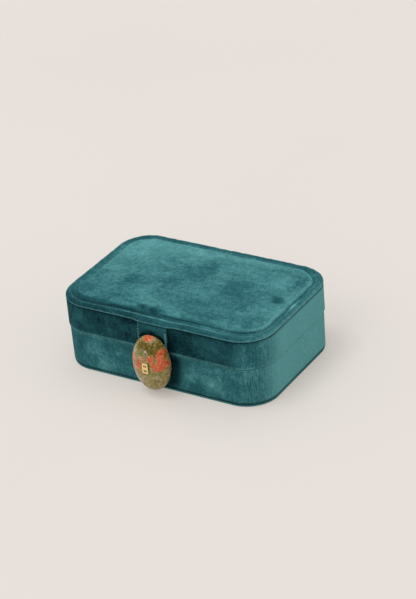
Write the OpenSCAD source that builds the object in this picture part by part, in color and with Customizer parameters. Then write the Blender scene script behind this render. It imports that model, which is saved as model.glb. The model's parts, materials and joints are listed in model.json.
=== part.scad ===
// Travel jewelry case: a velvet-covered board box with a hinged lid, a padded top,
// a clasp tab that carries an oval stone, and a fitted interior.
// Frame: +Z up, +X across the width, -Y the front. The origin is the middle of the underside.

/* [Case] */
// Width of the closed case
case_w = 180; // [160:1:200]
// Depth of the closed case, without the clasp
case_d = 120; // [115:1:135]
// Radius of the upright corners, seen from above
corner_r = 26; // [24:1:34]
// Height of the ridge of the rim around the top
case_h = 59.3; // [55:0.1:66]
// Height of the middle of the padded top
crown_h = 61; // [60:0.5:69]
// Height of the line where the lid meets the base
split_z = 32.2; // [31:0.1:34]
// Height of the lid's side wall
lid_wall_h = 23.3; // [21:0.1:26]

/* [Walls] */
// Thickness of the velvet on the outside
velvet_t = 0.8; // [0.6:0.1:0.9]
// Thickness of the lining
lining_t = 0.8; // [0.6:0.1:0.9]
// How far the base stands in from the lid
base_step = 0.7; // [0.4:0.1:1]
// Distance from the outside of the lid to the lining
wall_in = 4; // [3.8:0.1:5]
// Gap between the lid and the base
split_gap = 0.4; // [0.3:0.1:0.8]
// Thickness of the bottom board
bottom_t = 2; // [1.5:0.1:2.5]
// Thickness of the top board
top_t = 2; // [1.5:0.1:2.5]

/* [Top] */
// Distance from the outline in to the ridge of the rim
ridge_in = 3.35; // [3:0.05:4]
// Radius of the ridge
ridge_r = 1.6; // [1.2:0.1:1.8]
// Distance from the outline in to the edge of the pad
pad_in = 9.3; // [9:0.1:12]
// Radius of the pad's rounded edge
pad_edge_r = 3.2; // [2:0.1:3.6]

/* [Interior] */
// Thickness of the covered dividers
divider_t = 3; // [2:0.1:4]
// Height of the top of the dividers
divider_top = 28.5; // [24:0.5:30]
// Middle of the long divider, from the middle of the case
long_divider_y = -12.5; // [-18:0.5:-8]
// Middle of the two short front dividers, either side of the middle
front_divider_x = 28; // [20:1:34]
// Middle of the back divider
back_divider_x = 22; // [18:1:30]
// Height of the top of the ring rolls
roll_top = 25.4; // [22:0.1:28]
// Slit between two ring rolls
roll_slit = 0.3; // [0.2:0.1:0.6]
// Width of the mirror in the lid
mirror_w = 112; // [90:1:120]
// Depth of the mirror in the lid
mirror_d = 66; // [50:1:70]

/* [Clasp] */
// Width of the clasp tab
tab_w = 25.4; // [22:0.2:28]
// Thickness of the clasp tab
tab_t = 2.2; // [2:0.1:3]
// Width of the stone
stone_w = 32; // [28:1:36]
// Height of the stone, bottom to top
stone_l = 46.2; // [42:0.2:47]
// Height of the dome of the stone in front of its widest line
stone_dome = 10.1; // [7:0.1:12]
// Thickness of the stone behind its widest line
stone_girdle = 1.5; // [1:0.1:2.5]
// Height of the middle of the stone
stone_z = 25.7; // [25:0.1:27]
// Width of the badge on the stone
badge_w = 5.4; // [4:0.1:6]
// Height of the badge on the stone
badge_l = 9.3; // [8:0.1:10]

/* [Hidden] */
$fn = 64;
glue = 0.1;
velvet = [0.16, 0.42, 0.43];
velvet_dark = [0.05, 0.25, 0.27];
suede = [0.22, 0.47, 0.47];
board = [0.62, 0.55, 0.46];
foam = [0.93, 0.90, 0.80];
steel = [0.72, 0.73, 0.75];
gold = [0.85, 0.66, 0.36];
unakite = [0.55, 0.50, 0.30];

// Heights, from the underside up
floor_cover_t = velvet_t;
bottom_board_top = floor_cover_t + bottom_t;
floor_lining_bottom = bottom_board_top + glue;
floor_z = floor_lining_bottom + lining_t;
base_top = split_z - split_gap / 2;
lid_bottom = split_z + split_gap / 2;
rim_z = lid_bottom + lid_wall_h - split_gap / 2;
lid_wall_top = rim_z - glue;

// Insets from the outline of the lid
lid_board_in = velvet_t + glue;
base_board_in = base_step + velvet_t + glue;
board_inner = wall_in - glue;
lining_inner = wall_in + lining_t;
bottom_in = 1.5;
room_in = lining_inner + glue;

// Half sizes of the room inside the lining
room_x = case_w / 2 - room_in;
room_y = case_d / 2 - room_in;

// Rim
rim_outer_in = 0.3;
rim_flange_in = pad_in - 0.3;
rim_flange_top = rim_z + 1;
ridge_z = case_h - ridge_r;
core_r = ridge_r - velvet_t;

// Pad
pad_board_t = 1.2;
pad_bottom = rim_z - 0.4;
pad_shoulder_z = case_h + 0.9;
crown_steps = 3;
crown_step_in = 5;
crown_step_h = (crown_h - pad_shoulder_z) / crown_steps;

// Lid ceiling
top_board_top = rim_z - 0.5;
ceiling_z = top_board_top - top_t - glue - lining_t;

// Mirror and its frame
frame_border = 5;
frame_lip = 2;
frame_t = 2.2;
mirror_t = 1.4;
mirror_r = 6;
frame_top = ceiling_z - glue;

// Ring rolls
roll_count = 7;
roll_end_gap = 1;
roll_room_right = back_divider_x - divider_t / 2 - glue;
roll_pitch = (roll_room_right + room_x - roll_end_gap) / roll_count;
roll_w = roll_pitch - roll_slit;
roll_front = long_divider_y + divider_t / 2 + 0.3;
roll_bed_t = 2;
roll_bottom = floor_z + glue + roll_bed_t + glue;

// Hinge cloth at the back, in two halves that meet at the split
hinge_w = 122;
hinge_h = 12;
hinge_t = 0.4;

// Clasp tab, from its rear face forward
tab_rear = -case_d / 2 - 0.4;
tab_front = tab_rear - tab_t;
tab_top = rim_z - 0.4;
tab_skin_t = 0.5;
tab_core_t = tab_t - 2 * tab_skin_t - glue;
tab_core_margin = 1.4;
tab_end_z = stone_z - 5;
plate_t = 0.9;
plate_scale = 0.93;
stone_back = tab_front - glue / 2 - plate_t - glue / 2;
stone_wide_y = stone_back - stone_girdle;
stone_apex_y = stone_wide_y - stone_dome;
seat_depth = 0.4;
badge_t = 1;
badge_rear = stone_apex_y + seat_depth;
badge_corner_r = 0.7;
rivet_r = 0.55;
rivet_spacing = 6;
rivet_depth = 0.7;

// Magnets
magnet_w = 14;
magnet_h = 10;
magnet_z = 19;
wall_magnet_t = 1.5;
tab_magnet_t = tab_core_t - glue;

// ---------- shared shapes ----------

// Rounded rectangle with its middle at the origin
module round_rect(w, d, r) {
    square([w - 2 * r, d], center = true);
    square([w, d - 2 * r], center = true);
    for (x = [-1, 1], y = [-1, 1])
        translate([x * (w / 2 - r), y * (d / 2 - r)]) circle(r = r);
}

// The outline of the case, moved in by inset
module plan(inset) {
    round_rect(case_w - 2 * inset, case_d - 2 * inset, max(corner_r - inset, 1));
}

module slab(inset, z0, z1) {
    translate([0, 0, z0]) linear_extrude(z1 - z0) plan(inset);
}

module wall_ring(outer_in, inner_in, z0, z1) {
    translate([0, 0, z0]) linear_extrude(z1 - z0)
        difference() {
            plan(outer_in);
            plan(inner_in);
        }
}

// Runs a profile around the outline. The profile's x is the distance in from the outline.
module around() {
    for (side = [0:3]) {
        half_run = (side % 2 == 0 ? case_w : case_d) / 2 - corner_r;
        cross_run = (side % 2 == 0 ? case_d : case_w) / 2 - corner_r;
        rotate([0, 0, 90 * side]) {
            translate([half_run, 0, 0]) rotate([90, 0, 0])
                linear_extrude(2 * cross_run, center = true) outward() children();
            translate([half_run, cross_run, 0]) rotate_extrude(angle = 90) outward() children();
        }
    }
}

// Turns a distance in from the outline into a radius about the corner's centre
module outward() {
    translate([corner_r, 0]) mirror([1, 0]) children();
}

// Upright plate standing on the front of the case, drawn in X and Z, from y0 forward to y1
module front_plate(y0, y1) {
    translate([0, y0, 0]) rotate([90, 0, 0]) linear_extrude(y0 - y1) children();
}

// ---------- base ----------

module bottom_cover() {
    color(velvet_dark) slab(bottom_in, 0, floor_cover_t);
}

module bottom_board() {
    color(board) slab(wall_in, floor_cover_t + glue / 2, bottom_board_top);
}

module base_wall_board() {
    color(board) difference() {
        wall_ring(base_board_in, board_inner, floor_cover_t + glue / 2, base_top - velvet_t - glue);
        magnet_pocket();
    }
}

module magnet_pocket() {
    pocket_t = wall_magnet_t + 2 * glue;
    translate([0, pocket_t / 2 - case_d / 2 + base_board_in - glue, magnet_z])
        cube([magnet_w + 2 * glue, pocket_t, magnet_h + 2 * glue], center = true);
}

module wall_magnet() {
    color(steel) translate([0, wall_magnet_t / 2 - case_d / 2 + base_board_in, magnet_z])
        cube([magnet_w, wall_magnet_t, magnet_h], center = true);
}

// Outer velvet of the base, turned in over the top of the wall
module base_side_cover() {
    color(velvet) union() {
        wall_ring(base_step, base_step + velvet_t, floor_cover_t / 2, base_top);
        wall_ring(base_step + velvet_t / 2, wall_in, base_top - velvet_t, base_top);
    }
}

module base_wall_lining() {
    color(suede) wall_ring(wall_in + glue / 2, lining_inner, floor_z + glue, base_top - glue);
}

module base_floor_lining() {
    color(suede) slab(wall_in + glue / 2, floor_lining_bottom, floor_z);
}

// ---------- interior of the base ----------

module divider(w, d, x, y) {
    color(suede) translate([x - w / 2, y - d / 2, floor_z + glue])
        cube([w, d, divider_top - floor_z - glue]);
}

module long_divider() {
    divider(2 * (room_x - glue), divider_t, 0, long_divider_y);
}

module front_divider(side) {
    front = -room_y + glue;
    back = long_divider_y - divider_t / 2 - glue;
    divider(divider_t, back - front, side * front_divider_x, (front + back) / 2);
}

module back_divider() {
    front = long_divider_y + divider_t / 2 + glue;
    back = room_y - hinge_t - glue;
    divider(divider_t, back - front, back_divider_x, (front + back) / 2);
}

// Board under the ring rolls, cut to the corner of the case
module roll_bed() {
    color(suede) intersection() {
        slab(room_in + glue, floor_z + glue, floor_z + glue + roll_bed_t);
        translate([-case_w / 2, roll_front, 0])
            cube([case_w / 2 + roll_room_right - glue, case_d, case_h]);
    }
}

// Round-topped foam roll that ends just short of the back wall and follows its corner
module ring_roll(i) {
    left = -room_x + roll_end_gap + (i - 1) * roll_pitch;
    r = roll_w / 2;
    color(suede) intersection() {
        translate([left + r, room_y, 0]) rotate([90, 0, 0])
            linear_extrude(room_y - roll_front - glue) {
                translate([0, roll_top - r]) circle(r = r);
                translate([-r, roll_bottom]) square([roll_w, roll_top - r - roll_bottom]);
            }
        slab(room_in + roll_end_gap, roll_bottom - 1, roll_top + 1);
    }
}

// ---------- hinge cloth ----------

// Outer strip: the lower half lies on the base, the upper half on the lid
module hinge_cloth(y0, z0) {
    color(velvet) translate([-hinge_w / 2, y0, z0]) cube([hinge_w, hinge_t, hinge_h]);
}

module hinge_cloth_lower() {
    hinge_cloth(case_d / 2 - base_step + glue / 2, base_top - hinge_h);
}

module hinge_cloth_upper() {
    hinge_cloth(case_d / 2 + glue / 2, lid_bottom);
}

// Inner strip: it goes taut as the lid comes to the end of its travel
module inner_hinge_lower() {
    hinge_cloth(room_y - hinge_t + glue / 2, base_top - hinge_h);
}

module inner_hinge_upper() {
    hinge_cloth(room_y - hinge_t + glue / 2, lid_bottom);
}

// ---------- lid ----------

module lid_wall_board() {
    color(board) wall_ring(lid_board_in, board_inner, lid_bottom + velvet_t + glue, lid_wall_top);
}

module lid_top_board() {
    color(board) slab(wall_in, top_board_top - top_t, top_board_top);
}

// Outer velvet of the lid, turned in under the bottom of the wall
module lid_side_cover() {
    color(velvet) union() {
        wall_ring(0, velvet_t, lid_bottom, lid_wall_top);
        wall_ring(velvet_t / 2, wall_in, lid_bottom, lid_bottom + velvet_t);
    }
}

module lid_wall_lining() {
    color(suede) wall_ring(wall_in + glue / 2, lining_inner, lid_bottom + glue, ceiling_z - glue);
}

module lid_ceiling_lining() {
    color(suede) slab(wall_in + glue / 2, ceiling_z, ceiling_z + lining_t);
}

// Cross-section of the rim: up from the outline to the ridge, then down to a flange under the pad
module rim_outer_profile() {
    translate([ridge_in, ridge_z]) circle(r = ridge_r);
    polygon([
        [rim_outer_in, rim_z],
        [rim_outer_in, rim_z + 0.8],
        [ridge_in - 0.8 * ridge_r, ridge_z + 0.6 * ridge_r],
        [ridge_in + 0.9 * ridge_r, ridge_z + 0.4 * ridge_r],
        [ridge_in + 1.6 * ridge_r, rim_flange_top],
        [rim_flange_in, rim_flange_top],
        [rim_flange_in, rim_z]
    ]);
}

module rim_core_profile(grow) {
    translate([ridge_in, ridge_z]) circle(r = core_r - glue + grow);
    translate([ridge_in - core_r + glue - grow, rim_z])
        square([2 * (core_r - glue + grow), ridge_z - rim_z]);
}

// Piping cord inside the ridge
module rim_core() {
    color(foam) around() rim_core_profile(0);
}

module rim_cover() {
    color(velvet) around() difference() {
        rim_outer_profile();
        translate([0, -glue]) rim_core_profile(glue);
        translate([0, glue]) rim_core_profile(glue);
    }
}

module upper_half_disc(r) {
    intersection() {
        circle(r = r);
        translate([-r, 0]) square([2 * r, r]);
    }
}

// Slab with a rounded top edge of radius r
module pad_solid(inset, z0, z1, r) {
    around() {
        translate([inset + r, z1 - r]) upper_half_disc(r);
        translate([inset, z0]) square([2 * r, z1 - r - z0]);
    }
    slab(inset + r, z0, z1);
}

// The pad rises towards its middle in low steps
module crown() {
    for (i = [1:crown_steps])
        slab(pad_in + i * crown_step_in, pad_shoulder_z - velvet_t / 2,
            pad_shoulder_z + i * crown_step_h);
}

module pad_board() {
    color(board) slab(pad_in + velvet_t + glue, pad_bottom, pad_bottom + pad_board_t);
}

module top_foam() {
    color(foam) pad_solid(pad_in + velvet_t + glue, pad_bottom + pad_board_t + glue,
        pad_shoulder_z - velvet_t - glue, pad_edge_r - velvet_t);
}

module top_cover() {
    color(velvet) difference() {
        union() {
            pad_solid(pad_in, pad_bottom, pad_shoulder_z, pad_edge_r);
            crown();
        }
        pad_solid(pad_in + velvet_t, pad_bottom - 1, pad_shoulder_z - velvet_t, pad_edge_r - velvet_t);
    }
}

// Covered frame glued to the ceiling of the lid. Its lip holds the mirror.
module mirror_frame() {
    bottom = frame_top - frame_t;
    pocket_z = frame_top - mirror_t - 2 * glue;
    color(suede) difference() {
        translate([0, 0, bottom]) linear_extrude(frame_t)
            round_rect(mirror_w + 2 * frame_border, mirror_d + 2 * frame_border, mirror_r + frame_border);
        translate([0, 0, pocket_z]) linear_extrude(frame_t)
            round_rect(mirror_w + 2 * glue, mirror_d + 2 * glue, mirror_r + glue);
        translate([0, 0, bottom - 1]) linear_extrude(frame_t + 2)
            round_rect(mirror_w - 2 * frame_lip, mirror_d - 2 * frame_lip, mirror_r - frame_lip);
    }
}

module mirror_glass() {
    color([0.85, 0.9, 0.92]) translate([0, 0, frame_top - glue - mirror_t]) linear_extrude(mirror_t)
        round_rect(mirror_w, mirror_d, mirror_r);
}

// ---------- clasp ----------

// Outline of the tab: square at the rim, round at its lower end
module tab_outline(margin) {
    half_w = tab_w / 2 - margin;
    translate([-half_w, tab_end_z]) square([2 * half_w, tab_top - margin / 2 - tab_end_z]);
    translate([0, tab_end_z]) circle(r = half_w);
}

module tab_lining() {
    color(velvet_dark) front_plate(tab_rear, tab_rear - tab_skin_t) tab_outline(0);
}

module tab_core() {
    y0 = tab_rear - tab_skin_t - glue / 2;
    color(board) front_plate(y0, y0 - tab_core_t) difference() {
        tab_outline(tab_core_margin);
        translate([0, magnet_z]) square([magnet_w + 2 * glue, magnet_h + 2 * glue], center = true);
    }
}

module tab_cover() {
    color(velvet) front_plate(tab_front + tab_skin_t, tab_front) tab_outline(0);
}

module tab_magnet() {
    y0 = tab_rear - tab_skin_t - glue;
    color(steel) front_plate(y0, y0 - tab_magnet_t)
        translate([0, magnet_z]) square([magnet_w, magnet_h], center = true);
}

// Oval disc of the stone's outline times k, from y0 forward to y1
module oval(k, y0, y1) {
    translate([0, y0, stone_z]) scale([k * stone_w / stone_l, 1, k]) rotate([90, 0, 0])
        cylinder(h = y0 - y1, r = stone_l / 2);
}

module stone_plate() {
    color(gold) oval(plate_scale, stone_back + glue / 2 + plate_t, stone_back + glue / 2);
}

// Oval cabochon with a small flat seat at the top of its dome: a round one, drawn narrower
// and lower. The profile is drawn at the scale of the stone's height.
module stone() {
    r = stone_l / 2;
    lower = stone_dome / r;
    girdle = stone_girdle / lower;
    color(unakite) difference() {
        translate([0, stone_back, stone_z]) scale([stone_w / stone_l, lower, 1]) rotate([90, 0, 0])
            rotate_extrude($fn = 240) {
                square([r, girdle]);
                translate([0, girdle]) intersection() {
                    circle(r = r, $fn = 240);
                    square([r, r - seat_depth / lower]);
                }
            }
        rivet_pair(rivet_r + 0.05, badge_rear + rivet_depth + glue, stone_apex_y - 1);
    }
}

module rivet_pair(r, y0, y1) {
    for (side = [-1, 1])
        translate([0, y0, stone_z + side * rivet_spacing / 2]) rotate([90, 0, 0])
            cylinder(h = y0 - y1, r = r);
}

// Plain badge on the stone, held by two rivets
module badge() {
    y0 = badge_rear - glue / 2;
    color(gold) difference() {
        front_plate(y0, y0 - badge_t)
            translate([0, stone_z]) round_rect(badge_w, badge_l, badge_corner_r);
        rivet_pair(rivet_r + 0.05, y0 + 1, y0 - badge_t - 1);
    }
}

module badge_rivets() {
    color(gold) rivet_pair(rivet_r, badge_rear + rivet_depth, badge_rear - badge_t - 0.3);
}

// ---------- assembly ----------

bottom_cover();
bottom_board();
base_wall_board();
base_side_cover();
base_wall_lining();
base_floor_lining();
wall_magnet();
long_divider();
front_divider(-1);  // front_divider_left
front_divider(1);  // front_divider_right
back_divider();
roll_bed();
ring_roll(1);  // ring_roll_1
ring_roll(2);  // ring_roll_2
ring_roll(3);  // ring_roll_3
ring_roll(4);  // ring_roll_4
ring_roll(5);  // ring_roll_5
ring_roll(6);  // ring_roll_6
ring_roll(7);  // ring_roll_7
hinge_cloth_lower();
inner_hinge_lower();
lid_wall_board();
lid_top_board();
lid_side_cover();
lid_wall_lining();
lid_ceiling_lining();
rim_core();
rim_cover();
pad_board();
top_foam();
top_cover();
mirror_frame();
mirror_glass();  // mirror
hinge_cloth_upper();
inner_hinge_upper();
tab_lining();
tab_core();
tab_cover();
tab_magnet();
stone_plate();
stone();
badge();
badge_rivets();
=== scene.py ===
"""Travel jewelry case: the visual model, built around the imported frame.

The row frame: +Z up, +X across the width, -Y the front. Shapes are worked out in millimetres, and
new_object() and set_coordinates() turn them into metres. Materials, stage and camera are in metres.
"""
import json
from math import acos, ceil, copysign, cos, floor, pi, radians, sin, sqrt, tan

import bmesh
import bpy
import numpy as np
from mathutils import Matrix, Vector, noise


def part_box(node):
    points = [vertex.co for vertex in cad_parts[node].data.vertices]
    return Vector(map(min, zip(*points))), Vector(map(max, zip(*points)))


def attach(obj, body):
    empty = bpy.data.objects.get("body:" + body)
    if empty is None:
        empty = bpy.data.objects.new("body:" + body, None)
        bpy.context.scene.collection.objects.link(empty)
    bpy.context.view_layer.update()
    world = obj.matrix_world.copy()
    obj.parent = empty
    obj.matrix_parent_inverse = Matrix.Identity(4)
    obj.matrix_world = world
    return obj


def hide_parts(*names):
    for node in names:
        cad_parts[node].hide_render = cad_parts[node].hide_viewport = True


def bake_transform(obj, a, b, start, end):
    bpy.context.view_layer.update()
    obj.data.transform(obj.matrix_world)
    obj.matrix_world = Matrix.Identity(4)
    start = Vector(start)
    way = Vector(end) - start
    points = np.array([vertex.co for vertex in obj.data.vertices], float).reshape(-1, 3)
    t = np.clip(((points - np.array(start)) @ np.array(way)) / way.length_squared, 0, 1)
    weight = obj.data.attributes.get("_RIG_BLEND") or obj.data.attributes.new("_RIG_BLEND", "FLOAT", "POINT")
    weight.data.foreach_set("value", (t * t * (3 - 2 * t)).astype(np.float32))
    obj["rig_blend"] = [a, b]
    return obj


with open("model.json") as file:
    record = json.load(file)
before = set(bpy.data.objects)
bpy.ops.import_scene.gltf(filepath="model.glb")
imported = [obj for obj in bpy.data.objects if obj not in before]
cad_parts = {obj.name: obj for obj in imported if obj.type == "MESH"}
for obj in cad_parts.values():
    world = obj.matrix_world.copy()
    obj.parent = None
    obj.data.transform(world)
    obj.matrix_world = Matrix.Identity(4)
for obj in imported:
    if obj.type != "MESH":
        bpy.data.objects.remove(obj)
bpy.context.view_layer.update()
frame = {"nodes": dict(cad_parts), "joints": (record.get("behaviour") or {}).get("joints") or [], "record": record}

# ------------ sizes from the frame, in mm

MM = 0.001


def box(name):
    """The low and high corners of a CAD node."""
    return [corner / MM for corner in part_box(name)]


lid_low, lid_high = box("lid_side_cover")
base_high = box("base_side_cover")[1]
tab_low, tab_high = box("tab_cover")
stone_low, stone_high = box("stone")
badge_low, badge_high = box("badge")
floor_low, floor_high = box("base_floor_lining")
ceiling_low, ceiling_high = box("lid_ceiling_lining")

HALF_W, HALF_D = lid_high.x, lid_high.y
CORNER_R = 26
RUN_X, RUN_Y = HALF_W - CORNER_R, HALF_D - CORNER_R
SPLIT_Z = (lid_low.z + base_high.z) / 2
SEAM_Z = box("rim_cover")[0].z
BASE_STEP = HALF_W - base_high.x
# how far in from the case's outline the covers and the linings of the walls reach
WALL_IN = 4
LINING_IN = 4.8
TAB_HALF = tab_high.x
STONE_Z = (stone_low.z + stone_high.z) / 2
# the highest line of the rim, in from the outline
CREST_IN = 3.5
# the oval of painted shadow round the stone on the front, as distance along the wall and height
STONE_SHADE_AT, STONE_SHADE_REACH = (3, 22.5), (17, 24.5)

# ------------ small tools


def smooth(t):
    """0 below 0, 1 above 1, and a smooth step between."""
    t = np.clip(t, 0.0, 1.0)
    return t * t * (3 - 2 * t)


def bump_at(x, middle, half, soft):
    """1 within half of middle, fading to 0 over soft."""
    return 1 - smooth((np.abs(x - middle) - half) / soft)


def wander(points, size, seed):
    """Soft noise, about -1 to 1, at each point. size is the width of its features."""
    shift = Vector((seed * 7.31, seed * 3.17, seed * 5.53))
    spots = [Vector(p) / size + shift for p in points]
    return np.array([noise.noise(q) + 0.5 * noise.noise(q * 2.1) for q in spots])


def new_object(name, verts, faces):
    """A smooth-shaded object from points in millimetres."""
    mesh = bpy.data.meshes.new(name)
    mesh.from_pydata([tuple(c * MM for c in v) for v in verts], [], faces)
    mesh.validate()
    bm = bmesh.new()
    bm.from_mesh(mesh)
    bmesh.ops.recalc_face_normals(bm, faces=bm.faces)
    bm.to_mesh(mesh)
    bm.free()
    obj = bpy.data.objects.new(name, mesh)
    shade_smooth(obj)
    bpy.context.scene.collection.objects.link(obj)
    return obj


def shade_smooth(obj, on=True):
    obj.data.polygons.foreach_set("use_smooth", [on] * len(obj.data.polygons))


def merged(name, parts):
    """One object from several pairs of verts and faces."""
    verts, faces = [], []
    for more_verts, more_faces in parts:
        faces += [tuple(len(verts) + k for k in face) for face in more_faces]
        verts += more_verts
    return new_object(name, verts, faces)


def point_values(obj, name, values):
    """Stores one number per vertex, for the materials."""
    layer = obj.data.attributes.get(name) or obj.data.attributes.new(name, "FLOAT", "POINT")
    layer.data.foreach_set("value", np.asarray(values, np.float32))


def read_points(obj, name):
    """A vertex property of three numbers, one row per vertex."""
    values = np.empty(len(obj.data.vertices) * 3)
    obj.data.vertices.foreach_get(name, values)
    return values.reshape(-1, 3)


def coordinates(obj):
    return read_points(obj, "co") / MM


def set_coordinates(obj, co):
    obj.data.vertices.foreach_set("co", np.asarray(co * MM, np.float32).ravel())
    obj.data.update()


def ruffle(obj, height, size, seed, above=-1e9):
    """Soft unevenness in the height of every vertex that is higher than above."""
    co = coordinates(obj)
    co[:, 2] += height * wander(co, size, seed) * (co[:, 2] > above)
    set_coordinates(obj, co)
    return obj


def apply_modifiers(obj):
    graph = bpy.context.evaluated_depsgraph_get()
    made = bpy.data.meshes.new_from_object(obj.evaluated_get(graph))
    obj.modifiers.clear()
    obj.data = made


def place(obj, body, material, replaces=()):
    """Puts a piece on its body, material and the nodes it stands for."""
    obj.data.materials.clear()
    obj.data.materials.append(material)
    if "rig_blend" not in obj:
        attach(obj, body)
    if replaces:
        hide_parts(*replaces)
    return obj


# ------------ rounded rectangles

CASE_PATH = (RUN_X, RUN_Y, CORNER_R)


def on_path(path, phi):
    """A corner-circle centre line point and the outward direction there.
    phi runs from 0 to 4: right side, back, left side, front, each from mid corner to mid corner."""
    run_x, run_y, radius = path
    side = floor(phi) % 4
    run, across = (run_y, run_x) if side % 2 == 0 else (run_x, run_y)
    half_arc = radius * pi / 4
    s = (phi - floor(phi)) * 2 * (half_arc + run) - half_arc
    slide = min(max(s, 0), 2 * run)
    angle = (pi / 4) * (s - slide) / half_arc
    x, y, nx, ny = across, slide - run, cos(angle), sin(angle)
    c, d = ((1, 0), (0, 1), (-1, 0), (0, -1))[side]
    return (x * c - y * d, x * d + y * c), (nx * c - ny * d, nx * d + ny * c)


def stations(path, per_long, per_short):
    """Even steps around a path: inner points and outward directions."""
    phis = []
    for side in range(4):
        count = per_short if side % 2 == 0 else per_long
        phis += [side + i / count for i in range(count)]
    pairs = [on_path(path, phi) for phi in phis]
    return np.array([p for p, _ in pairs]), np.array([n for _, n in pairs])


def fillet(corners, steps=4):
    """Polygon with rounded corners. Each corner is (distance in, height, radius)."""
    points = [np.array(corner[:2], float) for corner in corners]
    out = []
    for i, (here, (_, _, r)) in enumerate(zip(points, corners)):
        if r <= 0:
            out.append(here)
            continue
        before, after = points[i - 1] - here, points[(i + 1) % len(points)] - here
        la, lb = np.linalg.norm(before), np.linalg.norm(after)
        before, after = before / la, after / lb
        half = acos(float(np.clip(before @ after, -1, 1))) / 2
        cut = min(r / tan(half), 0.48 * la, 0.48 * lb)
        for t in np.linspace(0, 1, steps + 1):
            out.append(here + cut * ((1 - t) ** 2 * before + t**2 * after))
    return out


def divide(points, longest):
    """Splits the long edges of a closed polygon."""
    out = []
    for i, p in enumerate(points):
        q = points[(i + 1) % len(points)]
        parts = max(1, int(ceil(np.linalg.norm(q - p) / longest)))
        out += [p + (q - p) * k / parts for k in range(parts)]
    return np.array(out)


def ring_faces(rings, around, close=False):
    """Quads between rings of vertices that follow each other."""
    starts = [(j * around, (j + 1) % rings * around) for j in range(rings if close else rings - 1)]
    turns = [(i, (i + 1) % around) for i in range(around)]
    return [(a + i, a + k, b + k, b + i) for a, b in starts for i, k in turns]


def skin(rings, tip=None):
    """Verts and faces of a closed skin over rings of points. It ends flat, or in a tip."""
    n = len(rings[0])
    last = (len(rings) - 1) * n
    verts = [tuple(point) for ring in rings for point in ring]
    faces = ring_faces(len(rings), n) + [tuple(range(n))]
    if tip is None:
        return verts, faces + [tuple(range(last, last + n))]
    return verts + [tip], faces + [(last + i, last + (i + 1) % n, last + n) for i in range(n)]


def sweep(name, profile, path=CASE_PATH, per_long=128, per_short=84, shape=None):
    """Runs a closed profile of (distance in, height) around a path.
    shape(points, directions, distance in, height) may bend it from place to place."""
    inner, out = stations(path, per_long, per_short)
    u = np.tile(profile[:, 0], (len(inner), 1))
    z = np.tile(profile[:, 1], (len(inner), 1))
    if shape:
        u, z = shape(inner + out * path[2], out, u, z)
    xy = inner[:, None, :] + out[:, None, :] * (path[2] - u)[:, :, None]
    verts = np.dstack([xy, z[:, :, None]]).reshape(-1, 3)
    return new_object(name, verts, ring_faces(len(inner), len(profile), close=True))


def loft(name, path, steps, per_long=40, per_short=26, turn=None):
    """A closed plate: one loop per (distance in, height), with its first and last loops filled.
    turn(x, y, height) may stand it on another plane."""
    inner, out = stations(path, per_long, per_short)
    rings = [[(x, y, height) for x, y in inner + out * (path[2] - inset)] for inset, height in steps]
    if turn:
        rings = [[turn(*point) for point in ring] for ring in rings]
    return new_object(name, *skin(rings))


def shifted(low, high):
    """A turn for loft that moves a plate to the middle of a box."""
    x, y = (low.x + high.x) / 2, (low.y + high.y) / 2
    return lambda u, v, z: (x + u, y + v, z)


def inset_of(x, y):
    """Distance in from the outline of the case."""
    dx, dy = np.abs(x) - RUN_X, np.abs(y) - RUN_Y
    corner = CORNER_R - np.hypot(np.maximum(dx, 0), np.maximum(dy, 0))
    deep = np.minimum(CORNER_R - dx, CORNER_R - dy)
    return np.where((dx > 0) | (dy > 0), np.minimum(corner, deep), deep)


def plan_grid(inset_at, n_long, n_short, ease=1.0):
    """Quads that fill the case's outline moved in by inset_at(outward direction), their edge loop,
    and each vertex's own inset. ease over 1 draws the rows closer together towards the edge."""
    verts, insets = [], []
    for v in np.linspace(-1, 1, n_short + 1):
        for u in np.linspace(-1, 1, n_long + 1):
            if abs(u) >= abs(v):
                phi = (v / u / 2 if u else 0) + (0.5 if u >= 0 else 2.5)
            else:
                phi = -u / v / 2 + (1.5 if v > 0 else 3.5)
            p, n = on_path(CASE_PATH, phi)
            reach = 1 - (1 - max(abs(u), abs(v))) ** ease
            insets.append(inset_at(n))
            verts.append([reach * (p[k] + n[k] * (CORNER_R - insets[-1])) for k in (0, 1)])
    row = n_long + 1
    corners = [(a, a + 1, a + row + 1, a + row) for a in range(n_short * row) if (a + 1) % row]
    edge = [j * row + n_long for j in range(n_short)]
    edge += [n_short * row + i for i in range(n_long, 0, -1)]
    edge += [j * row for j in range(n_short, 0, -1)]
    edge += list(range(n_long))
    return np.array(verts), corners, edge, np.array(insets)


def panel(name, inset, low, high, crown=0.0, n_long=60, n_short=40):
    """A sheet that fills the case's outline. crown lifts the middle of its upper face,
    or lowers the middle of its lower face where it is negative."""
    flat, faces, edge, _ = plan_grid(lambda n: inset, n_long, n_short)
    rise = smooth((inset_of(flat[:, 0], flat[:, 1]) - inset) / 14) * crown
    top = np.column_stack([flat, high + np.maximum(rise, 0)])
    under = np.column_stack([flat, low + np.minimum(rise, 0)])
    n = len(flat)
    faces += [tuple(n + k for k in reversed(face)) for face in faces]
    faces += [(edge[i - 1], edge[i], n + edge[i], n + edge[i - 1]) for i in range(len(edge))]
    return new_object(name, np.vstack([top, under]), faces)


# ------------ materials


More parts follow.
